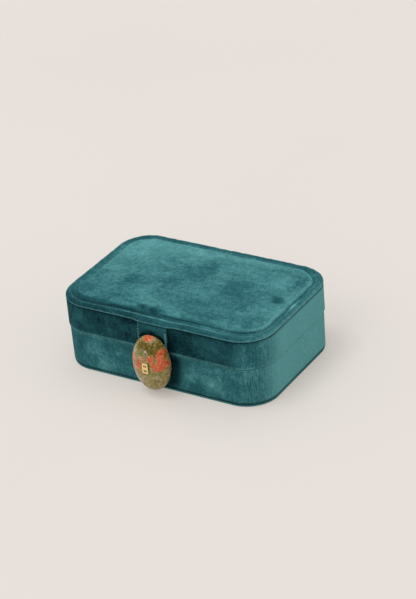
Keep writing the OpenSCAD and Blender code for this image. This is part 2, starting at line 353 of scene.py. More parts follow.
class Nodes:
    """A short way to write a node tree. A value is a number, a colour or another node's output."""

    def __init__(self, name):
        self.material = bpy.data.materials.new(name)
        self.material.use_nodes = True
        self.tree = self.material.node_tree
        self.shader = self.tree.nodes["Principled BSDF"]
        self.coords = self.add("ShaderNodeTexCoord").outputs["Object"]

    def add(self, kind, **settings):
        node = self.tree.nodes.new(kind)
        for key, value in settings.items():
            setattr(node, key, value)
        return node

    def put(self, socket, value):
        if isinstance(value, bpy.types.NodeSocket):
            self.tree.links.new(value, socket)
        else:
            socket.default_value = value

    def fill(self, node, **values):
        """Sets a node's inputs by name."""
        for key, value in values.items():
            self.put(node.inputs[key.replace("_", " ")], value)
        return node

    def noise(self, scale, detail=3.0, rough=0.5, distortion=0.0, coords=None):
        node = self.fill(self.add("ShaderNodeTexNoise"), Vector=coords or self.coords, Scale=scale)
        return self.fill(node, Detail=detail, Roughness=rough, Distortion=distortion).outputs["Fac"]

    def stretch(self, scale, offset=(0, 0, 0)):
        node = self.add("ShaderNodeMapping")
        return self.fill(node, Vector=self.coords, Scale=scale, Location=offset).outputs["Vector"]

    def math(self, operation, a, b):
        node = self.add("ShaderNodeMath", operation=operation)
        self.put(node.inputs[0], a)
        self.put(node.inputs[1], b)
        return node.outputs[0]

    def times(self, a, b):
        return self.math("MULTIPLY", a, b)

    def total(self, first, *others):
        for value in others:
            first = self.math("ADD", first, value)
        return first

    def lean(self, value, weight):
        """How far a noise is from its middle, times weight."""
        return self.times(self.math("SUBTRACT", value, 0.5), weight)

    def remap(self, value, low, high, to_low=0.0, to_high=1.0):
        node = self.fill(self.add("ShaderNodeMapRange", clamp=True), Value=value, From_Min=low)
        return self.fill(node, From_Max=high, To_Min=to_low, To_Max=to_high).outputs["Result"]

    def ramp(self, value, *stops):
        node = self.fill(self.add("ShaderNodeValToRGB"), Fac=value)
        elements = node.color_ramp.elements
        while len(elements) < len(stops):
            elements.new(0.5)
        for element, (at, colour) in zip(elements, stops):
            element.position = at
            element.color = (*colour, 1)
        return node.outputs["Color"]

    def mix(self, factor, a, b):
        a, b = ((*c, 1) if isinstance(c, tuple) else c for c in (a, b))
        node = self.add("ShaderNodeMix", data_type="RGBA", blend_type="MIX")
        return self.fill(node, Factor=factor, A=a, B=b).outputs["Result"]

    def attribute(self, name):
        return self.add("ShaderNodeAttribute", attribute_name=name).outputs["Fac"]

    def bump(self, height, distance, strength=1.0, **normal):
        """distance is in millimetres."""
        node = self.fill(self.add("ShaderNodeBump"), Height=height, Distance=distance * MM)
        return self.fill(node, Strength=strength, **normal).outputs["Normal"]

    def set(self, **values):
        """Sets the shader's own sockets."""
        self.fill(self.shader, **values)
        return self.material


def srgb(r, g, b):
    """A display colour, 0 to 255, as scene-linear."""
    return tuple(((c / 255 + 0.055) / 1.055) ** 2.4 if c > 10 else c / 255 / 12.92 for c in (r, g, b))


def velvet_material(name, dark, middle, light, sheen=0.08):
    """Short pile. One vertex number holds its tone, low dark and high light, with painted light and shade by side
    and painted shadows in it; the edge number is a painted highlight and the shadow number a painted shade.
    """
    m = Nodes(name)
    cloud = m.noise(30, 3, 0.5, 0.8)
    brushed = m.noise(1.0, 3, 0.55, 0.6, m.stretch((60, 95, 80), (3.1, 1.7, 0.4)))
    fine = m.noise(260, 3, 0.6, 0.3)
    streaks = m.noise(1.0, 2, 0.7, 0.3, m.stretch((1300, 1300, 110)))
    grain = m.noise(800, 2, 0.6)
    pile = m.noise(2300, 2, 0.7)
    patches = m.total(m.lean(cloud, 0.42), m.lean(brushed, 0.36), m.lean(fine, 0.48))
    patches = m.times(patches, m.remap(m.attribute("still"), 0, 1, 1.0, 0.22))
    lines = m.times(m.lean(streaks, m.attribute("streak")), 0.80)
    shade = m.total(patches, lines, m.lean(grain, 0.42), m.lean(pile, 0.30), m.attribute("tone_and_painted_light"))
    colour = m.ramp(shade, (0.0, dark), (0.5, middle), (1.0, light))
    # painted highlight from the edge number, along folds and edges
    highlight = m.times(m.attribute("edge"), m.remap(grain, 0.3, 0.7, 0.35, 1.0))
    colour = m.mix(highlight, colour, light)
    colour = m.mix(m.attribute("shadow"), colour, tuple(c * 0.45 for c in dark))
    relief = m.bump(grain, 0.12, 0.5, Normal=m.bump(pile, 0.10, 0.6))
    return m.set(
        Base_Color=colour, Roughness=0.95, Specular_IOR_Level=0.06,
        Normal=m.bump(cloud, 0.5, 0.35, Normal=relief),
        Sheen_Weight=sheen, Sheen_Roughness=0.4, Sheen_Tint=(*light, 1),
    )


def suede_material(name, dark, light):
    m = Nodes(name)
    grain = m.noise(1300, 3, 0.7)
    tone = m.total(m.times(m.noise(55, 3, 0.5, 0.5), 0.6), m.times(grain, 0.4))
    return m.set(
        Base_Color=m.ramp(tone, (0.3, dark), (0.7, light)), Roughness=0.92, Specular_IOR_Level=0.15,
        Normal=m.bump(grain, 0.1, 0.6), Sheen_Weight=0.25, Sheen_Roughness=0.5, Sheen_Tint=(*light, 1),
    )


def board_material():
    m = Nodes("greyboard")
    fibres = m.noise(1.0, 4, 0.7, 0.3, m.stretch((900, 900, 2400)))
    colour = m.ramp(fibres, (0.3, srgb(140, 128, 112)), (0.7, srgb(176, 164, 146)))
    return m.set(Base_Color=colour, Roughness=0.9, Normal=m.bump(fibres, 0.05))


def foam_material():
    m = Nodes("foam")
    cells = m.fill(m.add("ShaderNodeTexVoronoi"), Vector=m.coords, Scale=1400).outputs["Distance"]
    colour = m.ramp(cells, (0.1, srgb(200, 190, 165)), (0.6, srgb(238, 230, 208)))
    return m.set(Base_Color=colour, Roughness=0.95, Normal=m.bump(cells, 0.3))


def metal_material(name, colour, roughness, metallic=1.0, worn=0.92):
    m = Nodes(name)
    scratches = m.noise(1.0, 3, 0.6, 0.0, m.stretch((400, 400, 5200)))
    tint = m.ramp(scratches, (0.25, tuple(c * worn for c in colour)), (0.75, colour))
    rough = m.remap(m.noise(420, 3), 0.3, 0.7, roughness * 0.75, roughness * 1.35)
    return m.set(Base_Color=tint, Metallic=metallic, Roughness=rough, Normal=m.bump(scratches, 0.008))


def mirror_material():
    m = Nodes("mirror_glass")
    haze = m.remap(m.noise(35, 3), 0.35, 0.75, 0.015, 0.05)
    tint = m.ramp(m.noise(12, 2), (0.3, (0.80, 0.83, 0.83)), (0.7, (0.86, 0.88, 0.88)))
    return m.set(Base_Color=tint, Metallic=1.0, Roughness=haze)


def floor_material():
    m = Nodes("pale_floor")
    tint = m.ramp(m.noise(3, 2), (0.3, (0.440, 0.419, 0.403)), (0.7, (0.456, 0.435, 0.419)))
    return m.set(
        Base_Color=tint, Roughness=0.9, Specular_IOR_Level=0.05,
        Emission_Color=(*FLOOR_GLOW, 1), Emission_Strength=1.0,
    )


def stone_material():
    """Polished unakite. The vertex numbers red, pink, olive, green and pale say where each mineral lies, and olive
    and pale also hold a painted shadow beside the badge and a painted reflection on the left edge; noise breaks up
    their edges."""
    m = Nodes("unakite")
    swirl = m.noise(150, 5, 0.65, 1.0)
    crumb = m.noise(430, 4, 0.7, 0.6)
    grain = m.noise(900, 3, 0.8)
    flecks = m.noise(620, 2, 0.9, 0.8)
    mixed = m.total(m.times(crumb, 0.45), m.times(grain, 0.55))
    ragged = m.times(m.math("SUBTRACT", m.total(swirl, crumb), 1.0), 0.62)
    colour = m.ramp(
        mixed, (0.36, srgb(84, 66, 22)), (0.46, srgb(134, 116, 62)), (0.55, srgb(160, 144, 94)),
        (0.64, srgb(206, 192, 146)),
    )
    layers = [
        ("pale", 0.30, [(0.38, 122, 122, 86), (0.60, 190, 186, 158)]),
        ("green", 0.25, [(0.38, 70, 78, 22), (0.60, 140, 144, 86)]),
        ("olive", 0.22, [(0.38, 44, 38, 0), (0.50, 100, 82, 2), (0.62, 146, 122, 20)]),
        ("pink", 0.24, [(0.38, 160, 96, 64), (0.62, 218, 158, 128)]),
        ("red", 0.22, [(0.38, 128, 50, 8), (0.47, 204, 84, 28), (0.55, 204, 104, 66),
                       (0.64, 224, 160, 120)]),
    ]
    for name, soft, stops in layers:
        share = m.remap(m.total(m.attribute(name), ragged), 0.5 - soft, 0.5 + soft)
        colour = m.mix(share, colour, m.ramp(mixed, *[(at, srgb(*c)) for at, *c in stops]))
    specks = [
        (m.times(m.remap(m.noise(210, 6, 0.8, 1.8), 0.60, 0.67), 0.6), (62, 46, 20)),
        (m.times(m.remap(flecks, 0.60, 0.68), 0.55), (56, 40, 12)),
        (m.times(m.remap(flecks, 0.38, 0.31), 0.60), (220, 206, 168)),
        (m.remap(m.attribute("flaw"), 0.35, 0.75), (96, 94, 92)),
        (m.remap(m.attribute("chip"), 0.35, 0.75), (206, 200, 186)),
    ]
    for share, tint in specks:
        colour = m.mix(share, colour, srgb(*tint))
    return m.set(
        Base_Color=colour, Roughness=m.remap(grain, 0.3, 0.7, 0.12, 0.22), Specular_IOR_Level=0.22,
        Coat_Weight=0.22, Coat_Roughness=0.05, Normal=m.bump(crumb, 0.04, 0.35),
    )


TEAL_DARK = srgb(0, 32, 40)
TEAL = srgb(43, 98, 104)
TEAL_LIGHT = srgb(102, 168, 170)

FLOOR_GLOW = (0.321, 0.292, 0.267)

VELVET = velvet_material("outer_velvet", TEAL_DARK, TEAL, TEAL_LIGHT)
UNDER = velvet_material("bottom_velvet", TEAL_DARK, TEAL, TEAL_LIGHT)
SUEDE = suede_material("lining_suede", srgb(34, 88, 92), srgb(74, 134, 134))
ROLL = suede_material("roll_suede", srgb(44, 100, 102), srgb(90, 150, 148))
BACKING = suede_material("tab_backing", srgb(14, 50, 56), srgb(38, 86, 90))
SEAM = suede_material("seam_shadow", srgb(2, 18, 22), srgb(8, 34, 40))
THREAD = suede_material("teal_thread", srgb(70, 128, 128), srgb(140, 192, 186))
BOARD = board_material()
FOAM = foam_material()
STEEL = metal_material("magnet_steel", (0.62, 0.63, 0.65), 0.35)
GOLD = metal_material("gold_plate", srgb(255, 222, 150), 0.28, metallic=0.5)
DARK_GOLD = metal_material("dark_gold", srgb(64, 38, 12), 0.6, metallic=0.3)
MIRROR = mirror_material()
STONE = stone_material()
FLOOR = floor_material()

# ------------ velvet numbers


def dress(obj, tone_and_painted_light, edge=0.0, shadow=0.0, still=0.0, streak=0.0):
    """Stores the numbers that the velvet material reads: tone with painted light and shade, painted highlight
    (edge), painted shade (shadow), calm and streaks.
    """
    nothing = np.zeros(len(obj.data.vertices))
    point_values(obj, "tone_and_painted_light", nothing + tone_and_painted_light)
    for name, values in {"edge": edge, "shadow": shadow, "still": still, "streak": streak}.items():
        point_values(obj, name, np.clip(nothing + values, 0, 1))


def marks(a, b, spots):
    """Sum of soft oval patches. Each is (middle a, middle b, reach a, reach b, strength), in mm."""
    total = np.zeros(len(a))
    for at_a, at_b, reach_a, reach_b, strength in spots:
        total += strength * np.exp(-(((a - at_a) / reach_a) ** 2) - ((b - at_b) / reach_b) ** 2)
    return total


def past_runs(co):
    """How far each point lies past the straight runs, with its side's sign."""
    runs = np.array([RUN_X, RUN_Y])
    return (np.clip(np.abs(co[:, :2]) - runs, 0, None) * np.sign(co[:, :2])).T


def corner_share(co):
    """1 in the middle of each rounded corner, 0 on the straight walls."""
    dx, dy = np.abs(past_runs(co))
    return np.sin(2 * np.arctan2(dy, dx)) * ((dx > 0) & (dy > 0))


def by_side(co, front, right, back, left):
    """Blends four values around the case by the direction each part faces; for the tone this paints light and
    shade by side.
    """
    x, y = past_runs(co)
    turn = (np.arctan2(y, x) / (pi / 2)) % 4
    tones = [right, back, left, front]
    low = np.floor(turn).astype(int) % 4
    t = smooth(turn - np.floor(turn))
    return np.choose(low, tones) * (1 - t) + np.choose((low + 1) % 4, tones) * t


def girth(co):
    """Distance along the outline from the middle of the front, positive towards the right."""
    x, y = np.abs(past_runs(co)[0]), co[:, 1] + RUN_Y
    corner = CORNER_R * np.arctan2(x, np.clip(-y, 1e-9, None))
    round_it = np.where(y < 0, corner, CORNER_R * pi / 2 + np.clip(y, 0, None))
    return np.where(co[:, 0] < 0, -1, 1) * (np.minimum(np.abs(co[:, 0]), RUN_X) + round_it)


def stone_shade(co):
    """The stone's painted shadow on the front pile, an oval ring round it: most on its right, least in the middle.
    """
    across, up = ((v - at) / reach for v, at, reach in zip((girth(co), co[:, 2]), STONE_SHADE_AT, STONE_SHADE_REACH))
    far = np.hypot(across, up)
    ring = (0.35 + 0.65 * smooth((far - 0.15) / 0.4)) * (1 - smooth((far - 0.80) / 0.45))
    return ring * (0.45 + 0.55 * smooth((across + 0.4) / 0.8)) * (0.86 + 0.18 * wander(co, 6, 14))


# ------------ outer velvet


def side_shape(seed, rough):
    """Slight unevenness of velvet glued over board."""
    def shape(xy, out, u, z):
        for k, height in enumerate(z[0]):
            u[:, k] += rough * wander([(x, y, height) for x, y in xy], 14, seed)
        return u, z
    return shape


def side_cover(name, body, corners, seed, tones, patches, replaced):
    """A velvet strip around a wall. Returns the piece, its points and its tone, with painted light and shade by
    side.
    """
    obj = sweep(name, divide(fillet(corners, 5), 2.0), shape=side_shape(seed, 0.10))
    co = coordinates(obj)
    tone = by_side(co, *tones) + (co[:, 1] < RUN_Y) * marks(girth(co), co[:, 2], patches)
    place(obj, body, VELVET, [replaced])
    return obj, co, tone


def painted_light_by_facing(obj, up, front, right, back, left):
    """The tone with painted light and shade, from the way each part of the surface faces."""
    nx, ny, nz = read_points(obj, "normal").T
    faces = [(nz, up), (-ny, front), (nx, right), (ny, back), (-nx, left)]
    shares = [(np.maximum(facing, 0) ** 2, tone) for facing, tone in faces]
    return sum(share * tone for share, tone in shares) / (sum(share for share, _ in shares) + 1e-6)


def build_base_cover():
    """The base's side cover, folded in over the top of the wall and under at the foot."""
    top, bottom = base_high.z, 2.0
    inner = BASE_STEP + 0.85
    corners = [
        (BASE_STEP, top, 0.9), (WALL_IN, top, 0.25), (WALL_IN, top - 0.7, 0), (inner, top - 0.8, 0),
        (inner, bottom + 0.2, 0), (1.6, bottom - 0.1, 0.1), (1.05, bottom, 0.4),
    ]
    # mottling of the pile, with painted shadow of the stone at (20, 22)
    patches = [
        (-60, 21, 9, 7, 0.16), (-45, 12, 8, 7, 0.14), (-36, 23, 5, 6, 0.12), (-70, 20, 4, 12, -0.14),
        (-52, 28, 10, 2.5, -0.12), (-27, 10, 5, 6, 0.06), (30, 19, 8, 6, 0.12), (47, 13, 9, 8, 0.10),
        (34, 7, 7, 5, -0.20), (51, 6, 6, 4, -0.16), (24, 27, 9, 3, -0.10), (66, 22, 6, 9, -0.06),
        (74, 9, 8, 6, 0.04), (20, 22, 6, 16, -0.12), (50, 20, 22, 14, 0.09), (88, 16, 11, 22, -0.20),
        (-64, 22, 8, 9, -0.08), (0, 5, 60, 3, 0.06),
    ]
    # painted light and shade by side: front, right, back, left
    tones = (0.50, 0.90, 0.56, 0.54)
    obj, co, tone = side_cover("base_velvet", "base", corners, 1, tones, patches, "base_side_cover")
    z, stone_shadow = co[:, 2], stone_shade(co)
    # painted highlight along the top fold; painted shade at the foot, and the stone's painted shadow
    edge = 0.30 * smooth((z - (top - 1.0)) / 0.7)
    shadow = 0.9 * (1 - smooth((z - bottom) / 1.3)) + 0.52 * stone_shadow
    calm = by_side(co, 0.0, 0.95, 0.4, 0.3)
    dress(obj, tone - 0.40 * stone_shadow, edge, shadow, calm, 0.15 + 0.60 * corner_share(co))


def build_bottom():
    """The covered bottom board: its rounded edge shows under the side cover."""
    inset, thick, deep = 1.35, 1.93, 6
    corners = [(inset, 0.0, 0.5), (inset, thick, 0.45), (deep, thick, 0), (deep, 0.0, 0)]
    obj = sweep("bottom_edge", divide(fillet(corners, 4), 1.5))
    co = coordinates(obj)
    z = co[:, 2]
    glint = 0.5 * (1 - smooth(np.abs(z - 0.8) / 0.8))
    # tone with painted light by side, and painted shade in the gap above the rounded edge
    dress(obj, by_side(co, 0.52, 0.55, 0.45, 0.45), glint, 0.8 * smooth((z - 1.45) / 0.3), 0.8)
    place(obj, "base", UNDER)
    sheet = panel("bottom_panel", deep - 0.1, 0.05, 0.7)
    dress(sheet, 0.42)
    place(sheet, "base", UNDER, ["bottom_cover"])


def build_lid_cover():
    """The lid's side cover, folded in over its lower edge."""
    bottom, top = lid_low.z, SEAM_Z
    corners = [
        (0.0, bottom, 0.9), (0.0, top - 0.1, 0.6), (0.9, top - 0.05, 0), (0.9, bottom + 0.8, 0),
        (WALL_IN, bottom + 0.7, 0), (WALL_IN, bottom, 0.25),
    ]
    # mottling of the pile, with painted shadow of the stone at (17, 44)
    patches = [
        (-70, 47, 6, 5, 0.20), (-60, 41, 5, 5, 0.08), (-39, 41, 5, 6, 0.14), (-28, 44, 4, 6, 0.05),
        (-49, 43, 7, 7, -0.12), (-76, 38, 6, 6, 0.06), (27, 45, 8, 6, -0.10), (22, 37, 6, 5, 0.06),
        (45, 38, 8, 4, 0.10), (55, 48, 8, 6, 0.06), (74, 44, 7, 14, 0.22), (38, 50, 8, 3, 0.05),
        (84, 40, 5, 14, -0.06), (98, 44, 9, 20, -0.17), (17, 44, 4.5, 11, -0.16), (48, 48, 22, 8, 0.10),
        (-77, 47, 6, 8, -0.10), (-60, 37, 7, 5, -0.08), (66, 40, 7, 8, 0.08),
    ]
    # painted light and shade by side: front, right, back, left
    tones = (0.13, 0.91, 0.56, 0.46)
    obj, co, tone = side_cover("lid_velvet", "lid", corners, 2, tones, patches, "lid_side_cover")
    z, stone_shadow = co[:, 2], stone_shade(co)
    # painted highlight along the lower fold, strongest at the front
    edge = (1 - smooth((z - bottom - 0.9) / 1.2)) * by_side(co, 0.66, 0.10, 0.35, 0.35)
    edge *= 0.80 + 0.70 * wander(co, 11, 15)
    # painted shadow beside the tab, painted shade under the rim, and the stone's painted shadow
    shadow_beside_tab = marks(girth(co), z, [(13.6, 48, 1.8, 8, 0.8)])
    shadow = 0.75 * smooth((z - (top - 0.9)) / 0.7) + 0.36 * stone_shadow + shadow_beside_tab
    calm = by_side(co, 0.1, 0.95, 0.4, 0.3)
    dress(obj, tone - 0.20 * stone_shadow, edge, shadow, calm, 0.15 + 0.70 * corner_share(co))


def tab_lift(xy, out):
    """1 where the tab comes out from under the rim at the front, 0 elsewhere."""
    return (bump_at(xy[:, 0], 0, TAB_HALF - 1, 7) * (out[:, 1] < -0.99))[:, None]


def rim_shape(xy, out, u, z):
    """The rim is narrower and lower on the right. It wavers a little, and bulges over the tab's root."""
    weight = smooth((z - SEAM_Z) / 3)
    right = (np.clip(out[:, 0], 0, 1) ** 2)[:, None]
    crest = np.exp(-(((u - CREST_IN) / 2.2) ** 2)) * smooth(z - 58)
    u -= right * smooth((u - 0.6) / 1.5) * 0.42 * u
    z -= right * crest * 0.9
    flat = np.column_stack([xy, np.zeros(len(xy))])
    waver, small = wander(flat, 17, 3)[:, None], wander(flat, 5, 4)[:, None]
    u += (0.40 * waver + 0.20 * small) * (0.3 + weight)
    z += (0.25 * waver - 0.16 * small) * weight
    u -= 1.5 * tab_lift(xy, out) * (1 - smooth((u - 0.5) / 4.5))
    return u, z


def build_rim():
    """The padded rim: out over the seam, up to a low ridge, and down into the groove by the pad."""
    floor_z, inner = 58.1, 12.5
    corners = [
        (0.45, SEAM_Z + 0.05, 0.3), (-0.15, SEAM_Z + 0.6, 0.5), (0.1, SEAM_Z + 1.6, 1.2),
        (1.5, SEAM_Z + 2.9, 1.2), (CREST_IN, 59.5, 0.8), (5.8, floor_z + 0.4, 1.2),
        (7.2, floor_z, 1.0), (inner, floor_z - 0.2, 0), (inner, SEAM_Z + 0.1, 0),
    ]
    profile = divide(fillet(corners, 5), 0.8)
    obj = sweep("rim_velvet", profile, per_long=170, per_short=112, shape=rim_shape)
    depth = np.tile(profile[:, 0], len(obj.data.vertices) // len(profile))
    co = coordinates(obj)
    x, y, z = co.T
    groove = smooth((depth - 4.4) / 1.6)
    # painted light and shade: by facing on the rim, by side and in patches in the groove
    tone = painted_light_by_facing(obj, 0.42, 0.22, 0.88, 0.48, 0.46) * (1 - groove)
    tone += groove * (by_side(co, 0.22, 0.60, 0.46, 0.58) + marks(x, y, [
        (84, 0, 6, 6, 0.34), (83, 22, 6, 8, -0.08), (82, -20, 6, 9, -0.10), (0, 54, 60, 5, 0.10),
        (40, -52, 34, 6, 0.34), (-50, -52, 25, 6, 0.14),
    ]))
    tone += (y < -RUN_Y) * marks(x, y, [
        (-50, -54, 26, 9, -0.25), (-74, -52, 10, 9, -0.08), (25, -54, 20, 9, -0.04),
        (52, -54, 16, 9, 0.04), (75, -50, 12, 9, 0.10), (-8, -58, 14, 4, -0.08),
    ])
    # painted highlights along the welt and the crest, the crest's strongest at the front; painted shade in the
    # front groove
    welt_highlight = 0.65 * (1 - smooth(np.abs(z - (SEAM_Z + 1.0)) / 0.8)) * (depth < 1.4)
    crest = np.maximum(0, 1 - np.abs(depth - CREST_IN) / 0.8) * (z > 57.4) * (depth < 6)
    crest *= 0.42 + 0.55 * bump_at(x, 12, 34, 24) * (y < 0) + 0.20 * (y > 0)
    crest *= 0.75 + 0.5 * wander(co, 6, 12)
    dress(obj, tone, welt_highlight + crest, 0.10 * groove * (y < -RUN_Y), 0.25, 0.1)
    place(obj, "lid", VELVET, ["rim_cover"])


def ring_around(u, z, reach_u, reach_z, sides):
    """An oval profile for sweep."""
    return np.array([
        (u + reach_u * cos(2 * pi * i / sides), z + reach_z * sin(2 * pi * i / sides))
        for i in range(sides)
    ])


def build_rim_cord():
    """The foam cord that fills the rim."""
    obj = sweep("rim_cord", ring_around(3.3, 57.3, 1.2, 0.9, 10), shape=rim_shape)
    place(obj, "lid", FOAM, ["rim_core"])


def build_seam():
    """The dark cord sunk in the seam under the rim, standing in for the shade in the seam."""
    def shape(xy, out, u, z):
        return u - 1.2 * tab_lift(xy, out), z

    obj = sweep("rim_seam", ring_around(0.72, SEAM_Z + 0.02, 0.42, 0.42, 8), shape=shape)
    place(obj, "lid", SEAM)


# ------------ top pad

PAD_SHOULDER = 60.1
PAD_EDGE_R = 2.6


def pad_inset(n):
    """The pad sits a little to the right and back, so its edge is nearer to the outline there."""
    left, right = min(n[0], 0) ** 2, max(n[0], 0) ** 2
    front, back = min(n[1], 0) ** 2, max(n[1], 0) ** 2
    corner = 9 * right * back + 4 * left * back + 4 * right * front + 3 * left * front
    return (9.3 * front + 5.6 * right + 8.0 * back + 8.6 * left + corner)


def pad_height(inside):
    """Height of the pad's face at a distance in from its own edge."""
    round_in = np.clip(1 - inside / PAD_EDGE_R, 0, 1)
    drop = PAD_EDGE_R * (1 - np.sqrt(1 - round_in**2))
    return PAD_SHOULDER - 0.75 * drop + 0.9 * smooth(inside / 26)


def pad_mesh():
    flat, faces, edge, insets = plan_grid(pad_inset, 138, 88, ease=1.25)
    inside = inset_of(flat[:, 0], flat[:, 1]) - insets
    rows = list(np.column_stack([flat, pad_height(inside)]))
    count = len(edge)
    loops = [edge]
    for level in (57.9, 57.5, 56.8, 56.3):
        loops.append(list(range(len(rows), len(rows) + count)))
        rows += [(*flat[k], level) for k in edge]
    for a, b in zip(loops, loops[1:]):
        faces += [(a[i - 1], b[i - 1], b[i], a[i]) for i in range(count)]
    faces.append(tuple(loops[-1]))
    return new_object("top_pad", rows, faces), np.append(inside, np.zeros(len(rows) - len(flat)))


def stuff(obj, pressure, cap, held=None, frames=20):
    """Blows the cover up a little with cloth, and keeps every point within cap of where it was.
    held is true for the points that stay put."""
    scene = bpy.context.scene
    before = coordinates(obj)
    cloth = obj.modifiers.new("stuffing", "CLOTH")
    settings = cloth.settings
    settings.quality = 6
    settings.mass = 0.25
    settings.use_pressure = True
    settings.uniform_pressure_force = pressure
    settings.tension_stiffness = settings.compression_stiffness = 12
    settings.bending_stiffness = 0.4
    settings.effector_weights.gravity = 0
    if held is not None:
        group = obj.vertex_groups.new(name="held")
        group.add([int(i) for i in np.flatnonzero(held)], 1.0, "REPLACE")
        settings.vertex_group_mass = "held"
    cloth.point_cache.frame_start, cloth.point_cache.frame_end = 1, frames
    for number in range(1, frames + 1):
        scene.frame_set(number)
    apply_modifiers(obj)
    obj.vertex_groups.clear()
    moved = coordinates(obj) - before
    length = np.linalg.norm(moved, axis=1, keepdims=True)
    set_coordinates(obj, before + moved * np.minimum(1, cap / np.maximum(length, 1e-9)))
    scene.frame_set(1)


def sculpt_pad(co, inside):
    """Slack and puckers in the pad's cover."""
    x, y, z = co.T.copy()
    near_edge = 1 - smooth(inside / 7)
    waver, small = wander(co, 19, 5), wander(co, 7, 6)
    z += (0.28 * waver + 0.10 * small) * smooth(inside / 3)
    push = (0.55 * waver + 0.22 * small) * near_edge
    x += np.sign(x) * (np.abs(x) > RUN_X) * push
    y += np.sign(y) * (np.abs(y) > RUN_Y) * push
    pucker = np.hypot((x - 73) / 1.3, (y + 1) + 0.35 * (x - 73))
    z -= 1.1 * np.exp(-((pucker / 3.4) ** 2))
    slack = marks(x, y, [(-16, -48, 5, 5, 1.0), (-5, -50, 7, 3.5, 0.8), (-60, -50, 20, 3, 0.5)])
    z -= 1.1 * slack * (z > 58)
    y += 0.6 * slack
    return np.column_stack([x, y, z])


def build_pad():
    obj, inside = pad_mesh()
    stuff(obj, 2.0, 0.5, held=coordinates(obj)[:, 2] < 57.7)
    set_coordinates(obj, sculpt_pad(coordinates(obj), inside))
    x, y, z = coordinates(obj).T
    wall = 1 - smooth((z - 58.8) / 1.0)
    # the pad's side wall: painted light and shade by facing, its front lighter towards the right
    front = 0.22 + 0.20 * smooth((x - 5) / 35)
    tone = 0.63 * (1 - wall) + painted_light_by_facing(obj, 0.55, front, 0.66, 0.5, 0.44) * wall
    # mottling of the pile, with painted shade in the pucker at (73, -1)
    tone += (1 - wall) * marks(x, y, [
        (-66, 34, 22, 26, 0.17), (-25, 44, 40, 9, 0.16), (35, 46, 30, 6, 0.07), (2, 22, 8, 15, -0.13),
        (36, 4, 12, 11, -0.12), (27, 20, 12, 6, -0.04), (42, -8, 8, 8, -0.10), (-15, -8, 7, 6, -0.13),
        (-47, -17, 6, 13, -0.13), (-60, -27, 7, 4, -0.08), (17, -27, 13, 5, -0.13),
        (-10, 0, 16, 10, -0.05), (-74, -40, 9, 7, -0.24), (-22, -15, 24, 9, -0.10),
        (48, -22, 18, 8, -0.15), (10, -37, 22, 8, -0.10), (-44, -39, 14, 6, -0.10),
        (60, -40, 12, 6, -0.10), (60, -26, 12, 9, 0.06),
        (62, 22, 8, 14, 0.12), (75, 30, 4, 6, -0.08), (64, -40, 14, 4, 0.04), (44, -41, 16, 4, -0.08),
        (73, -1, 4, 3.4, -0.34), (69, 3, 4, 2, -0.12), (80, 6, 3, 16, 0.12), (80, -20, 4, 16, 0.10),
        (-30, 10, 18, 8, -0.04), (10, 40, 9, 5, -0.04), (-80, 10, 4, 20, 0.06), (28, -14, 5, 9, -0.05),
    ])
    # painted shade in the slack dents and along the front edge, and a painted highlight behind the first dent
    tone += marks(x, y, [
        (-17, -46, 3.6, 2.6, -0.42), (-7, -47.5, 7, 2.4, -0.42), (-26, -49, 5, 2, -0.16),
        (-17, -42.5, 6, 1.4, 0.14), (-64, -49.5, 16, 2.2, -0.20), (-40, -50.6, 10, 1.5, -0.10),
        (25, -50, 26, 1.8, -0.06), (50, -48, 16, 2.5, -0.10),
    ])
    lit = np.clip(x / 84, 0, 1) ** 6 + smooth((y - 20) / 25) * bump_at(x, 0, 70, 20)
    rim_light = 0.62 * np.exp(-(((inside - 1.7) / 1.2) ** 2)) * np.clip(lit, 0, 1)
    # painted shade low on the pad's side wall
    dress(obj, tone, rim_light, 0.2 * (1 - smooth((z - 57.8) / 1.0)), 0.1, 0.05)
    place(obj, "lid", VELVET, ["top_cover"])
    return obj


def build_foam():
    """The foam block under the cover."""
    inset = 13
    steps = [(inset, 56.4), (inset, 58.2), (inset + 1, 58.7), (inset + 3, 58.8)]
    place(loft("top_foam_block", CASE_PATH, steps), "lid", FOAM, ["top_foam"])


# ------------ clasp


